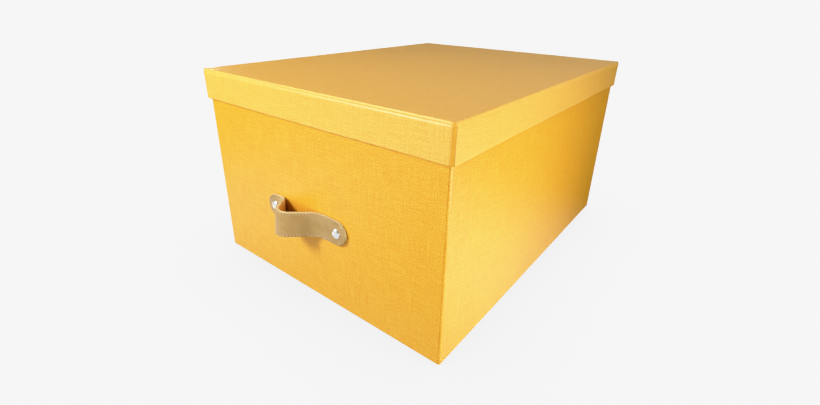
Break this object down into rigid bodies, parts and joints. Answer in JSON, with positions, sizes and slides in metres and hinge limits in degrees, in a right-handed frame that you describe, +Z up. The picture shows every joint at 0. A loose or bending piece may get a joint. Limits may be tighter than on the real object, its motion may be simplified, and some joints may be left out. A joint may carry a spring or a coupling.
{
  "type": "archival box",
  "caption": "Cloth-covered rigid storage box with a lift-off lid and a stitched leather pull strap held by two domed studs on its front.",
  "frame": {"origin": "centre of the underside of the box, on the surface it stands on", "axes": "+X to the right along the front face that carries the strap, +Y from the front face into the depth, +Z up through the lid"},
  "size_m": [0.38, 0.5174, 0.258],
  "materials": {
    "book_cloth": "fine plain weave, matt",
    "greyboard": "matt, flecked",
    "lining_paper": "matt",
    "stay_paper": "matt, gummed kraft tape",
    "leather_face": "smooth vegetable-tanned, pale cut edges",
    "leather_backing": "smooth, slightly darker than the face",
    "thread": "twisted waxed thread",
    "stud_metal": "polished nickel plate"
  },
  "bodies": {
    "box": {"back_board": "greyboard", "back_cover": "book_cloth", "base_board": "greyboard", "base_cover": "book_cloth", "front_board": "greyboard", "front_cover": "book_cloth", "left_board": "greyboard", "left_cover": "book_cloth", "liner_floor": "lining_paper", "liner_walls": "lining_paper", "right_board": "greyboard", "right_cover": "book_cloth", "screw_left": "stud_metal", "screw_right": "stud_metal", "stay_back_left": "stay_paper", "stay_back_right": "stay_paper", "stay_front_left": "stay_paper", "stay_front_right": "stay_paper", "stud_left": "stud_metal", "stud_right": "stud_metal", "washer_left": "stud_metal", "washer_right": "stud_metal"},
    "lid": {"lid_back_board": "greyboard", "lid_cover": "book_cloth", "lid_front_board": "greyboard", "lid_left_board": "greyboard", "lid_liner_band": "lining_paper", "lid_liner_top": "lining_paper", "lid_right_board": "greyboard", "lid_stay_back_left": "stay_paper", "lid_stay_back_right": "stay_paper", "lid_stay_front_left": "stay_paper", "lid_stay_front_right": "stay_paper", "lid_top_board": "greyboard"},
    "handle": {"strap_outer": "leather_face", "strap_lining": "leather_backing", "needle_thread": "thread", "bobbin_thread": "thread"}
  },
  "joints": [
    {"name": "lid_lift", "type": "slide", "parent": "box", "child": "lid", "axis": [0, 0, 1], "range_m": [0, 0.3]},
    {"name": "handle_flex", "type": "hinge", "parent": "box", "child": "handle", "pos_m": [0, -0.2414, 0.1045], "axis": [1, 0, 0], "range_deg": [-20, 20], "stiffness_Nm_per_rad": 0.15, "deforming": ["strap_outer", "strap_lining", "needle_thread", "bobbin_thread"]}
  ]
}
